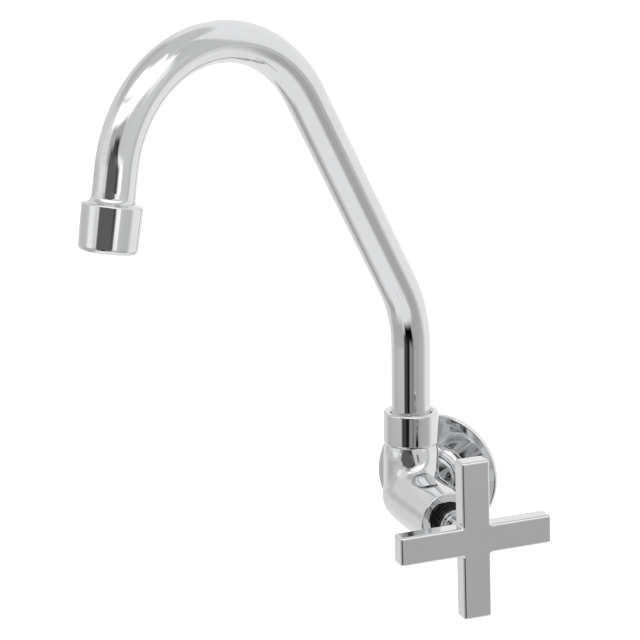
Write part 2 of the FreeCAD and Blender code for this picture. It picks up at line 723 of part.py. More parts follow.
# ---------------------------------------------------------------- outlet fitting and aerator
def outlet_adapter():
    """Flared fitting brazed into the tube, with the thread that carries the aerator."""
    flare = ADAPTER_FLARE
    return turned(
        (ADAPTER_BORE_R, -ADAPTER_SPIGOT),
        (TUBE_R - TUBE_WALL - 0.02, -ADAPTER_SPIGOT),
        (TUBE_R - TUBE_WALL - 0.02, 0),
        (TUBE_R, 0),
        (TUBE_R + 0.45, flare * 0.55, ADAPTER_FLARE_R, flare),
        (ADAPTER_THREAD_R, flare + 0.3),
        (ADAPTER_THREAD_R, ADAPTER_END - 0.5),
        (ADAPTER_THREAD_R - 0.5, ADAPTER_END),
        (ADAPTER_BORE_R, ADAPTER_END),
    )


def aerator_housing():
    top = AERATOR_START
    bottom = AERATOR_START + AERATOR_LENGTH
    round_top = AERATOR_TOP_EDGE
    round_bottom = AERATOR_BOTTOM_EDGE
    ledge = top + AERATOR_LEDGE
    lip = bottom - AERATOR_LIP
    return turned(
        (AERATOR_BORE_R, top),
        (AERATOR_TOP_R - round_top, top),
        (AERATOR_TOP_R - round_top * 0.293, top + round_top * 0.293, AERATOR_TOP_R, top + round_top),
        (AERATOR_BOTTOM_R, bottom - round_bottom),
        (AERATOR_BOTTOM_R - round_bottom * 0.293, bottom - round_bottom * 0.293,
         AERATOR_BOTTOM_R - round_bottom, bottom),
        (AERATOR_LIP_R, bottom),
        (AERATOR_LIP_R, lip),
        (AERATOR_LEDGE_R, lip),
        (AERATOR_LEDGE_R, ledge),
        (AERATOR_BORE_R, ledge),
    )


def honeycomb(low, high, reach):
    """Hexagonal water cells, in rings round a middle one."""
    cells = []
    cell_r = (AERATOR_CELL - AERATOR_CELL_WALL) / math.sqrt(3)
    rows = int(reach / AERATOR_CELL) + 1
    for i in range(-rows, rows + 1):
        for j in range(-rows, rows + 1):
            x = AERATOR_CELL * (i + j / 2)
            y = AERATOR_CELL * j * math.sqrt(3) / 2
            if math.hypot(x, y) + cell_r < reach:
                points = [(x + px, y + py) for px, py in ring_points(6, cell_r, 30.0)]
                cells.append(prism(points, low, high))
    return cells


def aerator_insert():
    """Plastic cup: rim on the housing's ledge, perforated top and honeycomb outlet."""
    ledge = AERATOR_START + AERATOR_LEDGE
    lip = AERATOR_START + AERATOR_LENGTH - AERATOR_LIP
    top = ledge - 1.15
    rim_r = AERATOR_BORE_R - 0.15
    cup_r = AERATOR_LEDGE_R - 0.1
    cup = turned(
        (0, top),
        (rim_r, top),
        (rim_r, ledge),
        (cup_r, ledge),
        (cup_r, lip - 0.1),
        (0, lip - 0.1),
    )
    chamber = rod(cup_r - 1.1, ledge + 0.4, lip - 2.6)
    jets = [Part.makeCylinder(0.7, 4, Vector(x, y, top - 1)) for x, y in ring_points(8, 5.0)]
    return cup.cut([chamber] + jets + honeycomb(lip - 3.6, lip + 1, cup_r - 0.8))


def aerator_screen():
    """Flat net on top of the insert."""
    top = AERATOR_START + AERATOR_LEDGE - 1.15
    disc = rod(7.4, top - 0.5, top - 0.02)
    step = 1.3
    gaps = []
    for i in range(-5, 6):
        for j in range(-5, 6):
            if math.hypot(i * step, j * step) < 6.4:
                gaps.append(block(0.85, 0.85, top - 1, top + 1, i * step, j * step))
    return disc.cut(gaps)


def outlet_frame():
    """Placement whose axis runs down the outlet from the end of the tube."""
    _, outlet, outward = swan_neck_path()
    return SPOUT.multiply(Placement(outlet, Rotation(Vector(0, 0, 1), outward)))


# ---------------------------------------------------------------- write every piece
os.makedirs("parts", exist_ok=True)

save("body", body(), Placement())
save("wall_flange", wall_flange(), WALL)
save("flange_gasket", tube(GASKET_R[1], GASKET_R[0], 0.3, GASKET_FRONT), WALL)
flange_seal_r = NECK_R + FLANGE_SEAL_SECTION_R
save("flange_o_ring", seal_ring(flange_seal_r, FLANGE_SEAL_SECTION_R, FLANGE_SEAL_PLACE), WALL)
save("spout_nut", spout_nut(), UP)
save("spout_thrust_washer", tube(9.6, 7.0, SOCKET_FLOOR, SOCKET_FLOOR + 1.0), UP)
save("valve_housing", valve_housing(), VALVE)
save("housing_o_ring", seal_ring(10.22, 0.98, 36.4), VALVE)
save("seat_seal", seat_seal(), VALVE)
save("fixed_disc", fixed_disc(), VALVE)
save("trim_ring", trim_ring(), VALVE)
save("dust_ring", dust_ring(), VALVE)

save("cross_handle", cross_handle(), VALVE)
save("handle_set_screw", handle_set_screw(), VALVE)
save("spindle", spindle(), VALVE)
save("moving_disc", moving_disc(), VALVE)
save("friction_washer", friction_washer(), VALVE)
save("spindle_clip", spindle_clip(), VALVE)
spindle_seals = [seal_ring(3.46, 0.53, place) for place in SPINDLE_SEAL_PLACES]
save("spindle_o_rings", Part.makeCompound(spindle_seals), VALVE)

save("spout_tube", spout_tube(), SPOUT)
save("spout_ferrule", spout_ferrule(), SPOUT)
spout_seals = [seal_ring(8.8, 0.88, height) for height in SPOUT_SEAL_HEIGHTS]
save("spout_o_rings", Part.makeCompound(spout_seals), SPOUT)
save("spout_clip_ring", spout_clip_ring(), SPOUT)

OUTLET = outlet_frame()
save("outlet_adapter", outlet_adapter(), OUTLET)
save("aerator_housing", aerator_housing(), OUTLET)
save("aerator_washer", tube(11.8, 7.6, ADAPTER_END + 0.05, ADAPTER_END + 2.0), OUTLET)
save("aerator_insert", aerator_insert(), OUTLET)
save("aerator_screen", aerator_screen(), OUTLET)
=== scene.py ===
import math
import bpy
import numpy as np
from mathutils import Matrix, Vector


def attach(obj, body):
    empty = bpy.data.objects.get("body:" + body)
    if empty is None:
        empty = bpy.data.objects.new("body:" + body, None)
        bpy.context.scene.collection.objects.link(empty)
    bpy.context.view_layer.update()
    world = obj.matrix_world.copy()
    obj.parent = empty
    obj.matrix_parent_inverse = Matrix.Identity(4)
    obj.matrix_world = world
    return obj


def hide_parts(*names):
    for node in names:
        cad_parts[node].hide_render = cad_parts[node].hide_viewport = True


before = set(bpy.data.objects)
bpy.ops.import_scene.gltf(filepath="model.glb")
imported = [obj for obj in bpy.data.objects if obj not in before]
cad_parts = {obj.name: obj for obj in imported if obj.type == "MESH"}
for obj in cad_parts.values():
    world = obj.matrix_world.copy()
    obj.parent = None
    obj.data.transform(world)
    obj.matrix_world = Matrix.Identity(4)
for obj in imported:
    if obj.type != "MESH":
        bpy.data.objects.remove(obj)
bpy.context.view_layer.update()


# ---------------------------------------------------------------- cast valve body
# One brass casting, polished and chromed: a barrel with a round back that holds the valve, the spout's socket
# rising from it with a soft fillet, and a neck back to the wall. It is bored out from its three ends.
# The faint waves in its shine are what the polishing belt leaves on a casting.
MM = 0.001
WALL_TO_BODY = 39.2
VALVE_TURN = math.radians(44.5)
BARREL_BACK_R = 14.2
BARREL_BACK = 0.5
BELLY_R = 15.0
BELLY = 19.53
BELLY_ARC_R = 240.0
BARREL_END = 44.5
BARREL_EDGE = 0.6
SOCKET_R = 13.4
SOCKET_TOP = 26.8
SOCKET_TOP_R = 12.3
SOCKET_FLARE_START = 20.0
SOCKET_EDGE = 0.4
SOCKET_BLEND = 15.0
NECK_R = 11.65
NECK_BLEND = 2.4
NECK_END = 0.6
SHANK_START = 20
SHANK_END = 16.0
SHANK_ROOT_R = 9.25
INLET_BORE_R = 6.5
SEAT = 11.0
SEAT_PASSAGE_R = 5.0
SKIRT_BORE_R = 9.6
SKIRT_BORE_END = 27.5
HOUSING_THREAD_R = 10.48
SEAL_POCKET_START = 35.3
SEAL_POCKET_R = 11.25
MOUTH_START = 37.5
MOUTH_R = 12.05
SOCKET_BORE_R = 9.76
SOCKET_FLOOR = 14.0
SOCKET_THREAD_R = 11.7
SOCKET_THREAD_CUT = 0.3
SOCKET_THREAD_START = 20
SOCKET_THREAD_END = 37.6
THREAD_EDGE = 0.3
BODY_EDGE = 0.25
BELT_WAVE = 0.03
WAVE_FADE = 4
WAVE_END = 6
FAR = 99
CENTRE = Vector((0, -WALL_TO_BODY, 0))
VALVE_AXIS = Vector((math.sin(VALVE_TURN), -math.cos(VALVE_TURN), 0))
VALVE_SIDE = Vector((math.cos(VALVE_TURN), math.sin(VALVE_TURN), 0))
Z_AXIS = Vector((0, 0, 1))


def placed(x_axis, y_axis, z_axis, origin):
    """Matrix that takes a shape drawn in millimetres about its own axis to its place in metres."""
    turn = Matrix((x_axis, y_axis, z_axis)).transposed().to_4x4()
    return Matrix.Scale(MM, 4) @ Matrix.Translation(origin) @ turn


VALVE = placed(VALVE_SIDE, Z_AXIS, VALVE_AXIS, CENTRE)
UP = placed(Vector((1, 0, 0)), Vector((0, 1, 0)), Z_AXIS, CENTRE)
WALL = placed(Vector((1, 0, 0)), Z_AXIS, Vector((0, -1, 0)), Vector((0, 0, 0)))


def piece(name, points, faces, normals, place, body):
    """Smooth-shaded mesh with exact normals, put in its place and riding on its body."""
    turn = place.to_3x3().normalized()
    mesh = bpy.data.meshes.new(name)
    mesh.from_pydata([place @ Vector(p) for p in points], [], faces)
    mesh.shade_smooth()
    if normals is not None:
        mesh.normals_split_custom_set_from_vertices([(turn @ Vector(n)).normalized() for n in normals])
    made = bpy.data.objects.new(name, mesh)
    bpy.context.scene.collection.objects.link(made)
    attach(made, body)
    return made


def planes(*stretches):
    """Grid planes: each stretch is (low, high, step) and takes the place of those inside it."""
    found = np.array([])
    for low, high, step in stretches:
        own = np.linspace(low, high, round((high - low) / step) + 1)
        found = np.concatenate([found[(found < low - step / 2) | (found > high + step / 2)], own])
    return np.sort(found)


def slope(distance, points):
    """Unit direction in which a distance grows fastest."""
    short_way = 0.01
    steps = np.eye(3) * short_way
    rise = np.stack([distance(points + s) - distance(points - s) for s in steps], -1)
    return rise / np.maximum(np.linalg.norm(rise, axis=-1, keepdims=True), 1e-9)


SKIN_ROUNDS = 6
SKIN_MOVE = 0.2


def skin(distance, xs, ys, zs):
    """Closed mesh over the surface where distance is zero: one point per grid cell that it crosses."""
    sides = (xs, ys, zs)
    value = distance(np.stack(np.meshgrid(xs, ys, zs, indexing="ij"), -1))
    cells = tuple(n - 1 for n in value.shape)
    total = np.zeros(cells + (3,))
    count = np.zeros(cells)
    rims = []
    for axis in range(3):
        start = np.moveaxis(np.moveaxis(value, axis, 0)[:-1], 0, axis)
        end = np.moveaxis(np.moveaxis(value, axis, 0)[1:], 0, axis)
        edge = np.argwhere((start < 0) != (end < 0))
        a = start[tuple(edge.T)]
        b = end[tuple(edge.T)]
        point = np.stack([sides[k][edge[:, k]] for k in range(3)], -1)
        length = sides[axis][edge[:, axis] + 1] - sides[axis][edge[:, axis]]
        point[:, axis] += length * a / (a - b)
        across = np.zeros(3, int)
        across[(axis + 1) % 3] = 1
        upward = np.zeros(3, int)
        upward[(axis + 2) % 3] = 1
        around = [edge, edge - across, edge - across - upward, edge - upward]
        for cell in around:
            np.add.at(total, tuple(cell.T), point)
            np.add.at(count, tuple(cell.T), 1)
        rims.append((around, a < 0))
    crossed = count > 0
    index = np.full(cells, -1)
    index[crossed] = np.arange(crossed.sum())
    points = total[crossed] / count[crossed][:, None]
    faces = []
    for around, outward in rims:
        quads = np.stack([index[tuple(cell.T)] for cell in around], -1)
        quads[~outward] = quads[~outward][:, ::-1]
        faces += quads.tolist()
    for _ in range(SKIN_ROUNDS):
        away = np.clip(distance(points), -SKIN_MOVE, SKIN_MOVE)
        points = points - away[:, None] * slope(distance, points)
    return points, faces, slope(distance, points)


def joined(a, b, blend):
    """Distance to two shapes joined with a fillet between them."""
    fillet = np.hypot(np.maximum(blend - a, 0), np.maximum(blend - b, 0))
    return np.maximum(blend, np.minimum(a, b)) - fillet


def melted(a, b, reach):
    """Distance to two cast shapes that run into each other softly, with no line where the fillet starts."""
    share = np.maximum(reach - np.abs(a - b), 0) / np.maximum(reach, 1e-6)
    return np.minimum(a, b) - reach * share ** 3 / 6


def without(a, b, edge):
    """Distance to a shape with another cut out of it, and the cut's edge rounded."""
    return -joined(-a, b, edge)


def raised(outline, along, low, high, edge=0.0):
    """Distance to an outline carried from one height to another, its ends' edges rounded."""
    out = outline + edge
    past = np.maximum(along - high, low - along) + edge
    outside = np.hypot(np.maximum(out, 0), np.maximum(past, 0))
    return outside + np.minimum(np.maximum(out, past), 0) - edge


def body_distance(p):
    """Distance to the casting, in millimetres, from points measured about the body's centre."""
    x = p[..., 0]
    y = p[..., 1]
    z = p[..., 2]
    along = x * VALVE_AXIS.x + y * VALVE_AXIS.y
    aside = x * VALVE_SIDE.x + y * VALVE_SIDE.y
    from_valve_axis = np.hypot(aside, z)
    upright = np.hypot(x, y)
    from_inlet_axis = np.hypot(x, z)
    from_back = np.sqrt(from_valve_axis ** 2 + (along - BARREL_BACK) ** 2)
    belly = BELLY_R - BELLY_ARC_R + np.sqrt(BELLY_ARC_R ** 2 - np.clip(along - BELLY, -FAR, FAR) ** 2)
    barrel = raised(from_valve_axis - belly, along, -FAR, BARREL_END, BARREL_EDGE)
    behind = along < BARREL_BACK - (BELLY - BARREL_BACK) * BARREL_BACK_R / (BELLY_ARC_R - BARREL_BACK_R)
    barrel = np.where(behind, from_back - BARREL_BACK_R, barrel)
    flare = np.clip((z - SOCKET_FLARE_START) / (SOCKET_TOP - SOCKET_FLARE_START), 0, 1)
    from_socket = upright + (SOCKET_R - SOCKET_TOP_R) * flare ** 2 - SOCKET_R
    socket = raised(from_socket, z, 0, SOCKET_TOP, SOCKET_EDGE)
    neck = raised(from_inlet_axis - NECK_R, y, 0, WALL_TO_BODY - NECK_END)
    level_at_side = aside ** 2 / np.maximum(from_valve_axis * upright, 1)
    level = np.where(behind, upright / np.maximum(from_back, 1), level_at_side)
    outside = melted(barrel, socket, SOCKET_BLEND * np.clip(1 - level, 0, 1))
    outside = joined(outside, neck, NECK_BLEND)
    wave = np.sin(0.31 * x + 0.9) * np.sin(0.27 * y + 0.4)
    wave = wave + np.sin(0.36 * z + 0.5 * x) * np.cos(0.33 * y - 0.2 * z)
    machined = np.clip((z - SOCKET_FLARE_START + WAVE_FADE) / WAVE_FADE, 0, 1)
    machined = machined + np.clip((along - BARREL_END + WAVE_END) / WAVE_FADE, 0, 1)
    outside = outside + BELT_WAVE * wave * np.clip(1 - machined, 0, 1)
    from_top_thread = upright - SOCKET_THREAD_R + SOCKET_THREAD_CUT
    top_thread = raised(from_top_thread, z, SOCKET_THREAD_START, SOCKET_THREAD_END, THREAD_EDGE)
    shank = raised(from_inlet_axis - SHANK_ROOT_R, y, SHANK_START, WALL_TO_BODY + SHANK_END, THREAD_EDGE)
    outside = np.minimum(outside, np.minimum(top_thread, shank))
    inlet = raised(from_inlet_axis - INLET_BORE_R, y, 0, FAR)
    elbow = np.sqrt(x ** 2 + y ** 2 + z ** 2) - INLET_BORE_R
    passage = raised(from_valve_axis - SEAT_PASSAGE_R, along, 0, FAR)
    skirt = raised(from_valve_axis - SKIRT_BORE_R, along, SEAT, FAR)
    thread = raised(from_valve_axis - HOUSING_THREAD_R, along, SKIRT_BORE_END, FAR)
    pocket = raised(from_valve_axis - SEAL_POCKET_R, along, SEAL_POCKET_START, FAR)
    mouth = raised(from_valve_axis - MOUTH_R, along, MOUTH_START, FAR)
    spout_bore = raised(upright - SOCKET_BORE_R, z, SOCKET_FLOOR, FAR)
    hollow = np.minimum.reduce([inlet, elbow, passage, skirt, thread, pocket, mouth, spout_bore])
    return without(outside, hollow, BODY_EDGE)


BODY_GRID = 0.62
BODY_FINE_GRID = 0.2
BODY_WIDTH = (-17.3, 45.5)
BODY_DEPTH = (-43.0, 56.9)
BODY_HEIGHT = (-16.3, 39.0)
points, faces, normals = skin(
    body_distance,
    planes((*BODY_WIDTH, BODY_GRID)),
    planes((*BODY_DEPTH, BODY_GRID)),
    planes((*BODY_HEIGHT, BODY_GRID), (SOCKET_TOP - 0.6, SOCKET_TOP + 0.4, BODY_FINE_GRID)),
)
body = piece("cast_body", points, faces, normals, UP, "valve_body")
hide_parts("body")


class Value:
    """One output of a material's nodes. Arithmetic on it adds Math nodes."""

    def __init__(self, paint, socket):
        self.paint = paint
        self.socket = socket

    def combined(self, operation, first, second):
        return self.paint.node("ShaderNodeMath", {"operation": operation}, {0: first, 1: second})

    def __add__(self, other):
        return self.combined("ADD", self, other)

    def __sub__(self, other):
        return self.combined("SUBTRACT", self, other)

    def __rsub__(self, other):
        return self.combined("SUBTRACT", other, self)

    def __mul__(self, other):
        return self.combined("MULTIPLY", self, other)

    __radd__ = __add__
    __rmul__ = __mul__


class Paint:
    """A material or a world being built; node() adds one node and returns one of its outputs."""

    def __init__(self, owner):
        owner.use_nodes = True
        self.owner = owner
        self.tree = owner.node_tree
        self.tree.nodes.clear()

    def node(self, kind, settings, inputs, output=0):
        made = self.tree.nodes.new(kind)
        for name, value in settings.items():
            setattr(made, name, value)
        for name, value in inputs.items():
            if isinstance(value, Value):
                self.tree.links.new(value.socket, made.inputs[name])
            else:
                made.inputs[name].default_value = value
        return Value(self, made.outputs[output]) if made.outputs else None

    def place(self):
        return self.node("ShaderNodeTexCoord", {}, {}, "Object")

    def noise(self, place, size, detail=2.0):
        """Cloudy noise from 0 to 1 whose blots are about size metres across."""
        inputs = {"Vector": place, "Scale": 1 / size, "Detail": detail}
        return self.node("ShaderNodeTexNoise", {}, inputs, "Fac")

    def spread(self, value, low, high, to_low=0.0, to_high=1.0):
        """A value taken smoothly from one range to another and held at its ends."""
        inputs = {"Value": value, "From Min": low, "From Max": high, "To Min": to_low, "To Max": to_high}
        return self.node("ShaderNodeMapRange", {"interpolation_type": "SMOOTHSTEP"}, inputs)

    def colours(self, share, first, second):
        inputs = {"Factor": share, 6: first + (1.0,), 7: second + (1.0,)}
        return self.node("ShaderNodeMix", {"data_type": "RGBA"}, inputs, 2)

    def surface(self, **sockets):
        """The shader itself, with the sockets given in words joined by underscores."""
        inputs = {name.replace("_", " "): value for name, value in sockets.items()}
        shader = self.node("ShaderNodeBsdfPrincipled", {}, inputs)
        self.node("ShaderNodeOutputMaterial", {}, {"Surface": shader})
        return self.owner


CHROME_BRIGHT = (0.655, 0.660, 0.668)
CHROME_WIPED = (0.640, 0.645, 0.650)
WIPE_SIZE = 0.022
RUB_SIZE = 0.0006
RUB_HEIGHT = 0.0008


def chrome(name, wave, wave_size, haze):
    """Bright chrome plate: waves left by polishing, faint haze where it was wiped, hairline rub marks."""
    paint = Paint(bpy.data.materials.new(name))
    place = paint.place()
    waves = paint.noise(place, wave_size, 1.0)
    wiped = paint.spread(paint.noise(place, WIPE_SIZE, 3.0), 0.45, 0.75)
    rubbed = paint.noise(place, RUB_SIZE, 2.0)
    height = waves + RUB_HEIGHT * rubbed
    return paint.surface(
        Base_Color=paint.colours(wiped, CHROME_BRIGHT, CHROME_WIPED),
        Metallic=1.0,
        Roughness=haze + 0.02 * wiped + 0.008 * rubbed,
        Normal=paint.node("ShaderNodeBump", {}, {"Strength": 1.0, "Distance": wave, "Height": height}),
    )


body.data.materials.append(chrome("chrome_cast", 0.00003, 0.012, 0.035))

# ---------------------------------------------------------------- pipe thread on the inlet
# The thread on the shank behind the wall takes the supply elbow. It is cut, not cast: a half-inch
# parallel thread of 14 turns to the inch, rounded at crest and root, that fades into the chamfered end.
THREAD_PITCH = 25.4 / 14
THREAD_CREST_R = 10.48
THREAD_DEPTH = 1.16
THREAD_START = -0.8
THREAD_END = SHANK_END - 0.02
THREAD_CHAMFER = 1.3
THREAD_STEPS = 14
THREAD_SIDES = 96
THREAD_INNER_R = SHANK_ROOT_R - 0.3


def ring_faces(rows, sides):
    """Quads between rows of points that each go once round, the last row joined to the first."""
    faces = []
    for i in range(rows):
        for k in range(sides):
            a = i * sides + k
            b = i * sides + (k + 1) % sides
            over = ((i + 1) % rows) * sides
            faces.append((a, b, over + (k + 1) % sides, over + k))
    return faces


points = []
heights = np.arange(THREAD_START, THREAD_END, THREAD_PITCH / THREAD_STEPS)
for height in heights:
    for k in range(THREAD_SIDES):
        share = k / THREAD_SIDES
        phase = (height / THREAD_PITCH - share) % 1.0
        tooth = min(max(2.0 * abs(2 * phase - 1) - 0.5, 0.0), 1.0)
        run_out = THREAD_CREST_R - max(0.0, height - SHANK_END + THREAD_CHAMFER)
        radius = min(THREAD_CREST_R - THREAD_DEPTH * tooth, run_out)
        turn = 2 * math.pi * share
        points.append((radius * math.cos(turn), radius * math.sin(turn), -height))
for height in (heights[-1], heights[0]):
    for k in range(THREAD_SIDES):
        turn = 2 * math.pi * k / THREAD_SIDES
        points.append((THREAD_INNER_R * math.cos(turn), THREAD_INNER_R * math.sin(turn), -height))
faces = [face[::-1] for face in ring_faces(len(heights) + 2, THREAD_SIDES)]
thread = piece("inlet_thread", points, faces, None, WALL, "valve_body")
thread.data.materials.append(chrome("chrome_thread", 0.00002, 0.004, 0.12))

# ---------------------------------------------------------------- wall flange
# Spun from sheet and chromed: a flat rim with rolled edges, a small step down into a shallow dish, and a
# collar that grips the neck. A soft ring behind it seals on the wall, and one inside the collar holds it.
FLANGE_R = 31.5
FLANGE_FOOT_IN = 0.9
FLANGE_ROLL = 1.4
FLANGE_INNER_ROLL = 1.6
FLANGE_INNER_FOOT_R = 29.6
FLANGE_RIM = 4.1
FLANGE_RIM_FALL = 0.05
FLANGE_RIM_INNER_R = 27.9
FLANGE_DISH = 3.4
FLANGE_DISH_R = 27.2
FLANGE_LOW = 2.95
FLANGE_LOW_R = 21.5
FLANGE_LOW_BEND = 100
FLANGE_COLLAR_R = 12.4
FLANGE_COLLAR_FOOT = 0.1
FLANGE_COLLAR_END = 8.6
FLANGE_BORE_R = 11.75
FLANGE_FILLET = 4.3
FLANGE_SHEET = 1.2
FLANGE_SIDES = 288
ARC_STEP = math.radians(9)


def rounded(corners):
    """Closed outline through (radius, height, rounding) corners: its points and their outward directions."""
    outline = []
    for i, (x, y, rounding) in enumerate(corners):
        here = Vector((x, y))
        arriving = (here - Vector(corners[i - 1][:2])).normalized()
        leaving = (Vector(corners[(i + 1) % len(corners)][:2]) - here).normalized()
        turn = math.atan2(arriving.x * leaving.y - arriving.y * leaving.x, arriving.dot(leaving))
        side = math.copysign(1.0, turn)
        start = here - arriving * rounding * math.tan(abs(turn) / 2)
        centre = start + Vector((-arriving.y, arriving.x)) * side * rounding
        steps = max(1, round(abs(turn) / ARC_STEP))
        for k in range(steps + 1):
            angle = turn * k / steps
            out_x = arriving.y * math.cos(angle) + arriving.x * math.sin(angle)
            out_y = arriving.y * math.sin(angle) - arriving.x * math.cos(angle)
            out = Vector((out_x, out_y))
            outline.append((centre + out * side * rounding, out))
    return outline


def turned(name, corners, place, body, sides=160):
    """Piece turned on a lathe: a closed outline carried round its axis."""
    outline = rounded(corners)
    points = []
    normals = []
    for at, out in outline:
        for k in range(sides):
            c = math.cos(2 * math.pi * k / sides)
            s = math.sin(2 * math.pi * k / sides)
            points.append((at.x * c, at.x * s, at.y))
            normals.append((out.x * c, out.x * s, out.y))
    return piece(name, points, ring_faces(len(outline), sides), normals, place, body)


flange = turned(
    "spun_flange",
    [
        (FLANGE_R - FLANGE_FOOT_IN, 0, 0.15),
        (FLANGE_R, FLANGE_ROLL, 1.0),
        (FLANGE_R, FLANGE_RIM, 0.9),
        (FLANGE_RIM_INNER_R, FLANGE_RIM - FLANGE_RIM_FALL, 0.3),
        (FLANGE_DISH_R, FLANGE_DISH, 0.5),
        (FLANGE_LOW_R, FLANGE_LOW, FLANGE_LOW_BEND),
        (FLANGE_COLLAR_R, FLANGE_LOW + FLANGE_COLLAR_FOOT, FLANGE_FILLET),
        (FLANGE_COLLAR_R, FLANGE_COLLAR_END, 0.4),
        (FLANGE_BORE_R, FLANGE_COLLAR_END, 0.1),
        (FLANGE_BORE_R, FLANGE_LOW - FLANGE_SHEET, FLANGE_FILLET),
        (FLANGE_DISH_R - 0.8, FLANGE_LOW - FLANGE_SHEET, 0.6),
        (FLANGE_RIM_INNER_R + 0.2, FLANGE_RIM - FLANGE_SHEET, 0.3),
        (FLANGE_R - FLANGE_SHEET, FLANGE_RIM - FLANGE_SHEET, 0.3),
        (FLANGE_R - FLANGE_SHEET, FLANGE_INNER_ROLL, 0.3),
        (FLANGE_INNER_FOOT_R, 0, 0.1),
    ],
    WALL,
    "valve_body",
    FLANGE_SIDES,
)
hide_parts("wall_flange")
flange.data.materials.append(chrome("chrome_spun", 0.00002, 0.016, 0.03))


def rubber(name, shade):
    """Moulded rubber: nearly black, greyer where it has bloomed, with the fine grain of its mould."""
    paint = Paint(bpy.data.materials.new(name))
    place = paint.place()
    bloom = paint.spread(paint.noise(place, 0.004, 3.0), 0.4, 0.8)
    grain = paint.noise(place, 0.0003, 3.0)
    dark = (shade, shade, shade * 1.02)
    grey = (shade * 2.2, shade * 2.2, shade * 2.2)
    return paint.surface(
        Base_Color=paint.colours(bloom, dark, grey),
        Roughness=0.42 + 0.2 * bloom + 0.1 * grain,
        Normal=paint.node("ShaderNodeBump", {}, {"Strength": 0.6, "Distance": 0.00004, "Height": grain}),
    )


seal_black = rubber("seal_rubber", 0.02)
GASKET_R = 29.4
GASKET_INNER_R = 27.9
GASKET_START = 0.3
GASKET_END = 2.5
gasket = turned(
    "wall_gasket",
    [
        (GASKET_R, GASKET_START, 0.2),
        (GASKET_R, GASKET_END, 0.3),
        (GASKET_INNER_R, GASKET_END, 0.3),
        (GASKET_INNER_R, GASKET_START, 0.2),
    ],
    WALL,
    "valve_body",
)
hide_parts("flange_gasket")
gasket.data.materials.append(seal_black)


def repaint(node, material):
    """Give a carried-over CAD node its finish."""
    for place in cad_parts[node].material_slots:
        place.material = material


repaint("flange_o_ring", seal_black)

# ---------------------------------------------------------------- quarter-turn valve inside the barrel
# A brass housing screwed into the barrel holds a fixed and a moving ceramic disc, lapped so flat that they
# seal face to face. The brass spindle turns the moving one, and rubber rings seal the rest.


def brass(name):
    """Turned brass: fine tool rings, a few duller clouds where it has tarnished."""
    paint = Paint(bpy.data.materials.new(name))
    place = paint.place()
    tarnish = paint.spread(paint.noise(place, 0.006, 4.0), 0.4, 0.75)
    tool_marks = paint.noise(place, 0.0002, 2.0)
    return paint.surface(
        Base_Color=paint.colours(tarnish, (0.78, 0.56, 0.27), (0.52, 0.36, 0.17)),
        Metallic=1.0,
        Roughness=0.22 + 0.18 * tarnish,
        Normal=paint.node("ShaderNodeBump", {}, {"Strength": 0.5, "Distance": 0.00002, "Height": tool_marks}),
    )


def moulded(name, light, dark, roughness):
    """Hard moulded or fired material: even, with a slight cloudiness and a fine skin."""
    paint = Paint(bpy.data.materials.new(name))
    place = paint.place()
    cloud = paint.noise(place, 0.005, 3.0)
    skin_grain = paint.noise(place, 0.0004, 2.0)
    return paint.surface(
        Base_Color=paint.colours(cloud, light, dark),
        Roughness=roughness + 0.1 * cloud,
        Normal=paint.node("ShaderNodeBump", {}, {"Strength": 0.4, "Distance": 0.00003, "Height": skin_grain}),
    )


def plain_steel(name):
    """Stainless steel, drawn and cut: grey, with a soft brushed gloss."""
    paint = Paint(bpy.data.materials.new(name))
    place = paint.place()
    drawn = paint.noise(place, 0.0004, 2.0)
    cloud = paint.noise(place, 0.003, 2.0)
    return paint.surface(
        Base_Color=paint.colours(cloud, (0.56, 0.57, 0.58), (0.47, 0.48, 0.49)),
        Metallic=1.0,
        Roughness=0.25 + 0.12 * drawn,
        Normal=paint.node("ShaderNodeBump", {}, {"Strength": 0.4, "Distance": 0.00002, "Height": drawn}),
    )


turned_brass = brass("turned_brass")
alumina = moulded("alumina", (0.86, 0.85, 0.81), (0.78, 0.77, 0.73), 0.25)
nylon = moulded("nylon", (0.80, 0.79, 0.74), (0.72, 0.70, 0.64), 0.45)
steel = plain_steel("stainless_steel")
for node in ("valve_housing", "spindle"):
    repaint(node, turned_brass)
for node in ("fixed_disc", "moving_disc"):
    repaint(node, alumina)
for node in ("housing_o_ring", "seat_seal", "spindle_o_rings"):
    repaint(node, seal_black)
repaint("friction_washer", nylon)
repaint("spindle_clip", steel)

# ---------------------------------------------------------------- rings in the barrel's mouth
# A polished ring closes the mouth, its thin lip over the barrel's end, round a black moulded sleeve that
# reaches the handle's hub and keeps dirt off the spindle. The sleeve has a wide foot and a grooved neck.
# Its near-black is partly painted shade: it also stands for the dark gap round the spindle.
DUST_RING_R = 8.7
TRIM_START = 42.4
TRIM_GAP = 0.15
TRIM_FIT = 0.03
TRIM_LIP_R = 13.05
TRIM_LIP = 0.03
trim = turned(
    "mouth_ring",
    [
        (DUST_RING_R + TRIM_GAP, TRIM_START, 0.1),
        (MOUTH_R - TRIM_FIT, TRIM_START, 0.1),
        (MOUTH_R - TRIM_FIT, BARREL_END, 0.01),
        (TRIM_LIP_R, BARREL_END, 0.01),
        (TRIM_LIP_R, BARREL_END + TRIM_LIP, 0.01),
        (DUST_RING_R + TRIM_GAP, BARREL_END + TRIM_LIP, 0.7),
    ],
    VALVE,
    "valve_body",
)
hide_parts("trim_ring")
machined_chrome = chrome("chrome_machined", 0.00001, 0.010, 0.03)
trim.data.materials.append(machined_chrome)

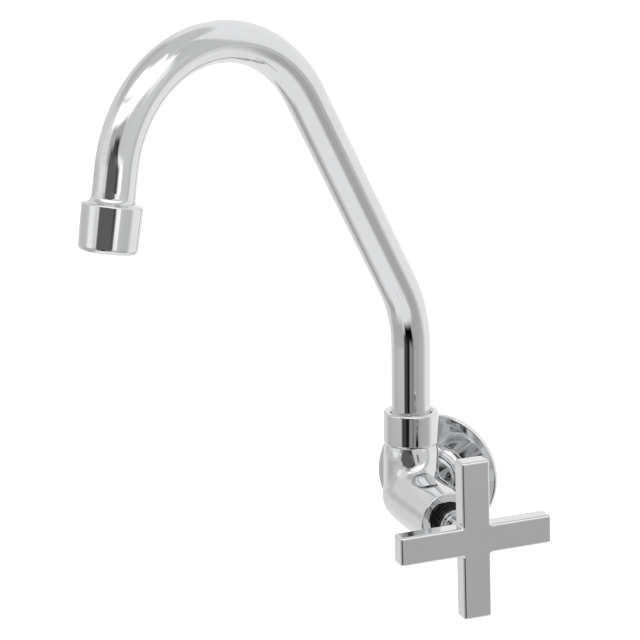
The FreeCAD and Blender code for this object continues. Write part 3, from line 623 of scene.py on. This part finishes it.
DUST_BORE_R = 6.4
DUST_START = 42.3
DUST_FOOT_END = 44.0
DUST_NECK_R = 7.1
DUST_NECK_START = 44.2
DUST_GROOVE_START = 46.2
DUST_GROOVE_END = 47.4
DUST_GROOVE_R = DUST_NECK_R - 0.4
DUST_END = 49.9
dust_ring = turned(
    "black_ring",
    [
        (DUST_BORE_R, DUST_START, 0.1),
        (DUST_RING_R, DUST_START, 0.1),
        (DUST_RING_R, DUST_FOOT_END, 0.3),
        (DUST_NECK_R, DUST_NECK_START, 0.4),
        (DUST_NECK_R, DUST_GROOVE_START, 0.2),
        (DUST_GROOVE_R, DUST_GROOVE_START + 0.2, 0.15),
        (DUST_GROOVE_R, DUST_GROOVE_END - 0.2, 0.15),
        (DUST_NECK_R, DUST_GROOVE_END, 0.2),
        (DUST_NECK_R, DUST_END, 0.4),
        (DUST_BORE_R, DUST_END, 0.1),
    ],
    VALVE,
    "valve_body",
)
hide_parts("dust_ring")


def glossy_black(name):
    """Hard black moulding, polished by its mould and faintly cloudy; on the sleeve its black is partly
    painted shade.
    """
    paint = Paint(bpy.data.materials.new(name))
    place = paint.place()
    cloud = paint.noise(place, 0.003, 2.0)
    return paint.surface(
        Base_Color=paint.colours(cloud, (0.003, 0.003, 0.003), (0.008, 0.008, 0.008)),
        Roughness=0.16 + 0.1 * cloud,
        Specular_IOR_Level=0.35,
        Normal=paint.node("ShaderNodeBump", {}, {"Strength": 0.3, "Distance": 0.00002, "Height": cloud}),
    )


# The sleeve's near-black is partly painted shade, standing for the dark gap round the spindle.
dust_ring.data.materials.append(glossy_black("black_moulding_and_painted_shade"))

# ---------------------------------------------------------------- cross handle
# Cast flat and square-cut, ground on its flats, polished and chromed. Its round hub slips on the splined
# spindle and a headless screw from below holds it. All its edges are only just broken.
CROSS_SPAN = 75.9
CROSS_ARM = 13.8
CROSS_THICKNESS = 8.7
CROSS_FRONT = 76.4
CROSS_BACK = CROSS_FRONT - CROSS_THICKNESS
CROSS_ROLL = math.radians(1.38)
CROSS_INNER_CORNER = 0.9
CROSS_EDGE = 1.2
HUB_R = 5.4
HUB_FLANGE_R = 7.3
HUB_START = 50.9
HUB_END = CROSS_FRONT - 2
HUB_FLANGE_END = 52.4
HUB_FLANGE_EDGE = 0.3
HUB_FLANGE_BLEND = 0.5
HUB_BLEND = 1.2
HUB_RECESS_R = 6.8
HUB_RECESS_END = 51.7
SPLINE_BORE_R = 4.04
SPLINE_END = 60.2
NOSE_BORE_R = 3.35
SPINDLE_END = 66.5
SET_SCREW_R = 2.02
SET_SCREW_PLACE = 63.2
HANDLE_BORE_EDGE = 0.12


def bar(a, b, half_a, half_b):
    """Distance to a rectangle, its corners just broken."""
    past_a = np.abs(a) - half_a + CROSS_EDGE
    past_b = np.abs(b) - half_b + CROSS_EDGE
    outside = np.hypot(np.maximum(past_a, 0), np.maximum(past_b, 0))
    return outside + np.minimum(np.maximum(past_a, past_b), 0) - CROSS_EDGE


def handle_distance(p):
    """Distance to the cross and its hub, from points in the cross's own turned frame."""
    x = p[..., 0]
    y = p[..., 1]
    z = p[..., 2]
    radial = np.hypot(x, y)
    flat = bar(x, y, CROSS_SPAN / 2, CROSS_ARM / 2)
    upright = bar(x, y, CROSS_ARM / 2, CROSS_SPAN / 2)
    cross = raised(joined(flat, upright, CROSS_INNER_CORNER), z, CROSS_BACK, CROSS_FRONT, CROSS_EDGE)
    hub = raised(radial - HUB_R, z, HUB_START, HUB_END)
    hub_flange = raised(radial - HUB_FLANGE_R, z, HUB_START, HUB_FLANGE_END, HUB_FLANGE_EDGE)
    solid = joined(joined(cross, hub, HUB_BLEND), hub_flange, HUB_FLANGE_BLEND)
    aside = x * math.cos(CROSS_ROLL) - y * math.sin(CROSS_ROLL)
    below = x * math.sin(CROSS_ROLL) + y * math.cos(CROSS_ROLL)
    screw_hole = raised(np.hypot(aside, z - SET_SCREW_PLACE) - SET_SCREW_R, below, -FAR, 0)
    recess = raised(radial - HUB_RECESS_R, z, 0, HUB_RECESS_END)
    spline_bore = raised(radial - SPLINE_BORE_R, z, 0, SPLINE_END)
    nose_bore = raised(radial - NOSE_BORE_R, z, 0, SPINDLE_END)
    hollow = np.minimum.reduce([screw_hole, recess, spline_bore, nose_bore])
    return without(solid, hollow, HANDLE_BORE_EDGE)


HANDLE_DEPTH = (50.1, 77.2)
HUB_FLANGE_DEPTH = (50.5, 53.2)
HANDLE_GRID = 0.5
ARM_GRID = 1.4
HUB_GRID = 0.45
HUB_GRID_REACH = 9.6
HUB_FLANGE_GRID = 0.17
EDGE_GRID = 0.3
EDGE_INSIDE = 1.5
EDGE_OUTSIDE = 0.9
GRID_MARGIN = 0.6


def across_cross():
    """Grid planes over the cross: close where its edges run and over the hub, wide along the arms."""
    arm = CROSS_ARM / 2
    reach = CROSS_SPAN / 2
    edges = []
    for at in (arm, reach):
        edges.append((-at - EDGE_OUTSIDE, -at + EDGE_INSIDE, EDGE_GRID))
        edges.append((at - EDGE_INSIDE, at + EDGE_OUTSIDE, EDGE_GRID))
    arms = (-reach - GRID_MARGIN, reach + GRID_MARGIN, ARM_GRID)
    return planes(arms, (-HUB_GRID_REACH, HUB_GRID_REACH, HUB_GRID), *edges)


handle_turn = Matrix.Rotation(CROSS_ROLL, 4, "Z")
points, faces, normals = skin(
    handle_distance,
    across_cross(),
    across_cross(),
    planes(
        (*HANDLE_DEPTH, HANDLE_GRID),
        (*HUB_FLANGE_DEPTH, HUB_FLANGE_GRID),
        (CROSS_BACK - EDGE_OUTSIDE, CROSS_BACK + EDGE_INSIDE, EDGE_GRID),
        (CROSS_FRONT - EDGE_INSIDE, CROSS_FRONT + GRID_MARGIN, EDGE_GRID),
    ),
)
handle = piece("chromed_cross", points, faces, normals, VALVE @ handle_turn, "handle")
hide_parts("cross_handle")
handle.data.materials.append(chrome("chrome_ground", 0.000012, 0.014, 0.05))
repaint("handle_set_screw", steel)

# ---------------------------------------------------------------- swan-neck spout
# Drawn three-quarter inch tube bent twice: a slight bend over the foot, then the arch that turns the outlet
# down. A brass ferrule brazed in its foot turns in the socket on two rubber rings, over a slippery washer.
SPOUT_TURN = math.radians(-24.26)
TUBE_R = 9.525
TUBE_WALL = 1.2
TUBE_START = 41.2
FOOT_BEND_START = 74.5
FOOT_BEND_R = 62.8
LEAN = math.radians(30.96)
LEAN_LENGTH = 112.07
ARCH_R = 58.42
OUTLET_TILT = math.radians(9.73)
OUTLET_STRAIGHT = 10.14
TUBE_SIDES = 128
FOOT_STATIONS = 6
RUN_STATIONS = 8
BEND_STEP = math.radians(1.5)
FORWARD = Vector((math.sin(SPOUT_TURN), -math.cos(SPOUT_TURN), 0))
SPOUT = placed(FORWARD, Z_AXIS.cross(FORWARD), Z_AXIS, CENTRE)


def bent_line():
    """The tube's centre line in its own plane: (reach, height, angle from upright) at each station."""
    stations = [(0.0, height, 0.0) for height in np.linspace(TUBE_START, FOOT_BEND_START, FOOT_STATIONS)]
    for start, end, radius, run in (
        (0.0, LEAN, FOOT_BEND_R, LEAN_LENGTH),
        (LEAN, math.pi - OUTLET_TILT, ARCH_R, OUTLET_STRAIGHT),
    ):
        reach, height, _ = stations[-1]
        middle_reach = reach + radius * math.cos(start)
        middle_height = height - radius * math.sin(start)
        for angle in np.linspace(start, end, round((end - start) / BEND_STEP) + 1)[1:]:
            at_reach = middle_reach - radius * math.cos(angle)
            at_height = middle_height + radius * math.sin(angle)
            stations.append((at_reach, at_height, angle))
        reach, height, _ = stations[-1]
        for share in np.linspace(0, 1, RUN_STATIONS)[1:]:
            stations.append((reach + run * share * math.sin(end), height + run * share * math.cos(end), end))
    return stations


line = bent_line()
points = []
normals = []
for stations, radius, outward in ((line, TUBE_R, 1), (line[::-1], TUBE_R - TUBE_WALL, -1)):
    for reach, height, angle in stations:
        for k in range(TUBE_SIDES):
            around = 2 * math.pi * k / TUBE_SIDES
            c = math.cos(around)
            out = Vector((c * math.cos(angle), math.sin(around), -c * math.sin(angle)))
            points.append(Vector((reach, 0, height)) + out * radius)
            normals.append(out * outward)
tube = piece("bent_tube", points, ring_faces(2 * len(line), TUBE_SIDES), normals, SPOUT, "spout")
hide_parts("spout_tube")
tube.data.materials.append(chrome("chrome_drawn", 0.000025, 0.020, 0.03))
repaint("spout_ferrule", turned_brass)
repaint("spout_o_rings", seal_black)
repaint("spout_thrust_washer", nylon)
repaint("spout_clip_ring", nylon)

# ---------------------------------------------------------------- nut round the foot of the spout
# Turned from bar, polished and chromed, with no flats: it is done up by hand. Its lip holds the split ring
# down, and a thin dark gap stays between it and the socket below.
NUT_R = 13.39
NUT_BOTTOM = 27.1
NUT_TOP = 43.0
NUT_EDGE = 1.1
NUT_CHAMFER = 0.35
NUT_CHAMFER_HEIGHT = 0.6
NUT_BORE_R = 11.75
NUT_LIP_R = 9.93
NUT_LIP_START = 40.0
NUT_LIP_FLARE = 1.3
NUT_LIP_FLARE_DEPTH = 1.2
nut = turned(
    "round_nut",
    [
        (NUT_BORE_R, NUT_BOTTOM, 0.1),
        (NUT_R - NUT_CHAMFER, NUT_BOTTOM, 0.1),
        (NUT_R, NUT_BOTTOM + NUT_CHAMFER_HEIGHT, 0.3),
        (NUT_R, NUT_TOP, NUT_EDGE),
        (NUT_LIP_R + NUT_LIP_FLARE, NUT_TOP, 0.3),
        (NUT_LIP_R, NUT_TOP - NUT_LIP_FLARE_DEPTH, 0.3),
        (NUT_LIP_R, NUT_LIP_START, 0.1),
        (NUT_BORE_R, NUT_LIP_START, 0.1),
    ],
    UP,
    "valve_body",
)
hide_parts("spout_nut")
nut.data.materials.append(machined_chrome)

# ---------------------------------------------------------------- outlet and aerator
# A flared fitting is brazed in the tube's end, and the aerator's shell screws on it, both turned and chromed.
# Inside the shell sit a rubber washer, a fine net and a plastic insert whose honeycomb evens the stream.
ADAPTER_BORE_R = 7.0
ADAPTER_TOP = -8.0
ADAPTER_PLUG_R = TUBE_R - TUBE_WALL - 0.02
ADAPTER_NECK = 3.9
ADAPTER_FLARE = 5.0
ADAPTER_FLARE_R = 11.7
ADAPTER_THREAD_R = 11.9
ADAPTER_END = 13.3
AERATOR_TOP_R = 13.45
AERATOR_EDGE = 1.0
AERATOR_BOTTOM_R = 12.95
AERATOR_BOTTOM_EDGE = 2.5
AERATOR_BOTTOM = 25.8
AERATOR_MOUTH_R = 10.2
AERATOR_LIP_START = 23.7
AERATOR_BORE_R = 11.2
AERATOR_THREAD_END = 16.5
AERATOR_THREAD_R = 12.0
reach, height, angle = line[-1]
outlet_across = FORWARD * -math.cos(angle) + Z_AXIS * math.sin(angle)
outlet_down = FORWARD * math.sin(angle) + Z_AXIS * math.cos(angle)
outlet_end = CENTRE + FORWARD * reach + Z_AXIS * height
OUTLET = placed(outlet_across, outlet_down.cross(outlet_across), outlet_down, outlet_end)

adapter = turned(
    "flared_fitting",
    [
        (ADAPTER_BORE_R, ADAPTER_TOP, 0.1),
        (ADAPTER_PLUG_R, ADAPTER_TOP, 0.1),
        (ADAPTER_PLUG_R, 0.0, 0.02),
        (TUBE_R, 0.0, 0.02),
        (TUBE_R + 0.1, ADAPTER_NECK, 3.0),
        (ADAPTER_FLARE_R, ADAPTER_FLARE, 0.3),
        (ADAPTER_THREAD_R, ADAPTER_FLARE + 0.5, 0.1),
        (ADAPTER_THREAD_R, ADAPTER_END, 0.4),
        (ADAPTER_BORE_R, ADAPTER_END, 0.2),
    ],
    OUTLET,
    "spout",
)
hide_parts("outlet_adapter")
adapter.data.materials.append(machined_chrome)

shell = turned(
    "aerator_shell",
    [
        (AERATOR_THREAD_R, ADAPTER_FLARE, 0.1),
        (AERATOR_TOP_R, ADAPTER_FLARE, AERATOR_EDGE),
        (AERATOR_BOTTOM_R, AERATOR_BOTTOM, AERATOR_BOTTOM_EDGE),
        (AERATOR_MOUTH_R, AERATOR_BOTTOM, 0.3),
        (AERATOR_MOUTH_R, AERATOR_LIP_START, 0.1),
        (AERATOR_BORE_R, AERATOR_LIP_START, 0.1),
        (AERATOR_BORE_R, AERATOR_THREAD_END, 0.1),
        (AERATOR_THREAD_R, AERATOR_THREAD_END, 0.1),
    ],
    OUTLET,
    "spout",
)
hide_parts("aerator_housing")
shell.data.materials.append(machined_chrome)
repaint("aerator_washer", seal_black)
repaint("aerator_insert", moulded("insert_plastic", (0.80, 0.81, 0.82), (0.70, 0.71, 0.72), 0.35))
repaint("aerator_screen", steel)

# ---------------------------------------------------------------- studio
# A white cove: the camera sees only white, while the chrome mirrors softboxes overhead and to the right, grey
# walls, a black flag and a dark end behind the camera. The panels' numbers come from a least-squares fit to
# the shades that the photographed chrome mirrors, and the camera's from one to the object's outline.
CAMERA_PLACE = Vector((0.39593, -1.06381, 0.34739))
CAMERA_RIGHT = Vector((0.91870, 0.39480, -0.01092))
CAMERA_UP = Vector((-0.08097, 0.21532, 0.97318))
LENS = 132.11
SENSOR = 36.0
SHINE = CHROME_BRIGHT[0]
FLOOR = -0.30
FLOOR_REACH = 6

camera_data = bpy.data.cameras.new("camera")
camera_data.lens = LENS
camera_data.sensor_width = SENSOR
camera = bpy.data.objects.new("camera", camera_data)
backward = CAMERA_RIGHT.cross(CAMERA_UP)
looking = Matrix((CAMERA_RIGHT, CAMERA_UP, backward)).transposed().to_4x4()
camera.matrix_world = Matrix.Translation(CAMERA_PLACE) @ looking
bpy.context.scene.collection.objects.link(camera)
bpy.context.scene.camera = camera
bpy.context.scene.view_settings.view_transform = "Standard"


def as_light(shade):
    """Light that a mirror of this chrome shows as that shade, from 0 to 1, in the picture."""
    linear = ((shade + 0.055) / 1.055) ** 2.4
    return linear / SHINE


room = Paint(bpy.data.worlds.new("studio"))
direction = room.node("ShaderNodeTexCoord", {}, {}, "Generated")
toward_x = room.node("ShaderNodeSeparateXYZ", {}, {"Vector": direction}, "X")
separate = toward_x.socket.node
toward_y = Value(room, separate.outputs["Y"])
toward_z = Value(room, separate.outputs["Z"])
azimuth = toward_x.combined("ARCTAN2", toward_x, 0 - toward_y) * math.degrees(1)
elevation = toward_z.combined("ARCSINE", toward_z, 0) * math.degrees(1)
STUDIO = (
    # panel, azimuth, elevation, half width, half height, tilt, softness in degrees, shade in the chrome
    ("ceiling", 0, 89.9, 400, 31.6, -0.1, 12.4, 0.74),
    ("right wall", 148.9, 4.3, 34.4, 51.6, 2, 6, 0.87),
    ("right wall, low", 150.3, -45.3, 44.8, 13.8, 0.9, 8, 0.85),
    ("left wall, high", -91.6, 46.7, 41.3, 16.6, -15.1, 18.1, 0.69),
    ("left wall, middle", -104.9, 0, 40.6, 33.5, 1.7, 20, 0.79),
    ("left wall, near", -46.2, 16.7, 22.8, 20.6, -0.2, 15.9, 0.83),
    ("left wall, lower", -69.2, -4.2, 48.8, 5.7, -1.9, 12.1, 0.71),
    ("left lamp", -48.3, -0.8, 12.1, 5.8, -1.1, 10.3, 0.91),
    ("left wall, low", -54.8, -26.3, 40.1, 14.2, -1.5, 16.2, 0.66),
    ("left wall, foot", -85.4, -48.7, 38.1, 8.5, 1.4, 18.4, 0.62),
    ("right panel", 92.6, 22.1, 11.5, 36.1, 6.3, 3.4, 0.73),
    ("right panel, far edge", 76.7, 29.3, 5.2, 20.2, 20.1, 5.4, 0.91),
    ("right panel, near", 45.6, 15.7, 24.7, 15.3, 6.1, 8, 0.76),
    ("right panel, middle", 73.3, -1.9, 23.5, 15.5, 0.4, 7, 0.77),
    ("right panel, low", 83.9, -27.7, 24.9, 16.6, -5.9, 20, 0.64),
    ("low card, right", 50.4, -21.3, 15.8, 9.4, 3.5, 7, 0.63),
    ("softbox", 10, 51.7, 55.3, 21.5, 0.4, 9.9, 1.04),
    ("softbox, right", 63.4, 40, 15.7, 11.5, -23.6, 8.3, 1.04),
    ("softbox seam", -31, 48.7, 31.6, 1.6, 3.2, 5, 0.81),
    ("under the softbox", -1.5, 19.6, 28.5, 12.6, 0.6, 6.4, 0.65),
    ("strip light", 43.6, 0.6, 15.8, 2.8, -19, 6.7, 1.10),
    ("dark end", 10.2, -5, 30.8, 16.4, -19, 7.4, 0.35),
    ("dark end, high", 9.5, 16.5, 12.7, 5.9, -11.2, 6, 0.26),
    ("flag", 24.2, 9, 17.5, 1.6, -42.8, 5.4, 0.13),
    ("dark end, low", 3.9, -18.9, 21.8, 9.8, 2, 8.3, 0.25),
    ("grey card, left", 21.3, -16.7, 6.5, 5.2, 0.3, 3.4, 0.54),
    ("grey card, middle", 30.1, -15, 3, 5, 0, 3, 0.46),
    ("grey card, right", 36.4, -14.6, 3.6, 5.1, 0.1, 2.9, 0.53),
    ("gap", 6.2, -17, 5.4, 6.4, 0, 3, 0.09),
    ("black cloth", 12.9, -27.6, 20.4, 6.4, 7.2, 9.1, 0.02),
)
STUDIO_SHADE = 0.864


def band(value, half, soft):
    """1 where a value is within half of zero and 0 outside, with an edge that takes the width soft."""
    away = value.combined("ABSOLUTE", value, 0)
    return room.spread(away, half - soft / 2, half + soft / 2, 1.0, 0.0)


light = as_light(STUDIO_SHADE)
for _, at, above, half_width, half_height, tilt, soft, shade in STUDIO:
    c = math.cos(math.radians(tilt))
    s = math.sin(math.radians(tilt))
    right = azimuth - at
    high = elevation - above
    along = right * c + high * s
    across = high * c - right * s
    mask = band(along, half_width, soft) * band(across, half_height, soft)
    light = light + (as_light(shade) - light) * mask
seen = room.node("ShaderNodeLightPath", {}, {}, "Is Camera Ray")
light = light + (1.0 - light) * seen
background = room.node("ShaderNodeBackground", {}, {"Color": light})
room.node("ShaderNodeOutputWorld", {}, {"Surface": background})
bpy.context.scene.world = room.owner

floor_mesh = bpy.data.meshes.new("floor")
floor_sides = ((-1, -1), (1, -1), (1, 1), (-1, 1))
floor_corners = [(x * FLOOR_REACH, y * FLOOR_REACH, FLOOR) for x, y in floor_sides]
floor_mesh.from_pydata(floor_corners, [], [(0, 1, 2, 3)])
floor = bpy.data.objects.new("floor", floor_mesh)
bpy.context.scene.collection.objects.link(floor)
floor.visible_glossy = False
paper = Paint(bpy.data.materials.new("white_paper"))
fibres = paper.noise(paper.place(), 0.002, 3.0)
floor_mesh.materials.append(paper.surface(
    Base_Color=paper.colours(fibres, (0.93, 0.93, 0.93), (0.91, 0.91, 0.91)),
    Roughness=0.9,
    Emission_Color=(1.0, 1.0, 1.0, 1.0),
    Emission_Strength=0.5,
))
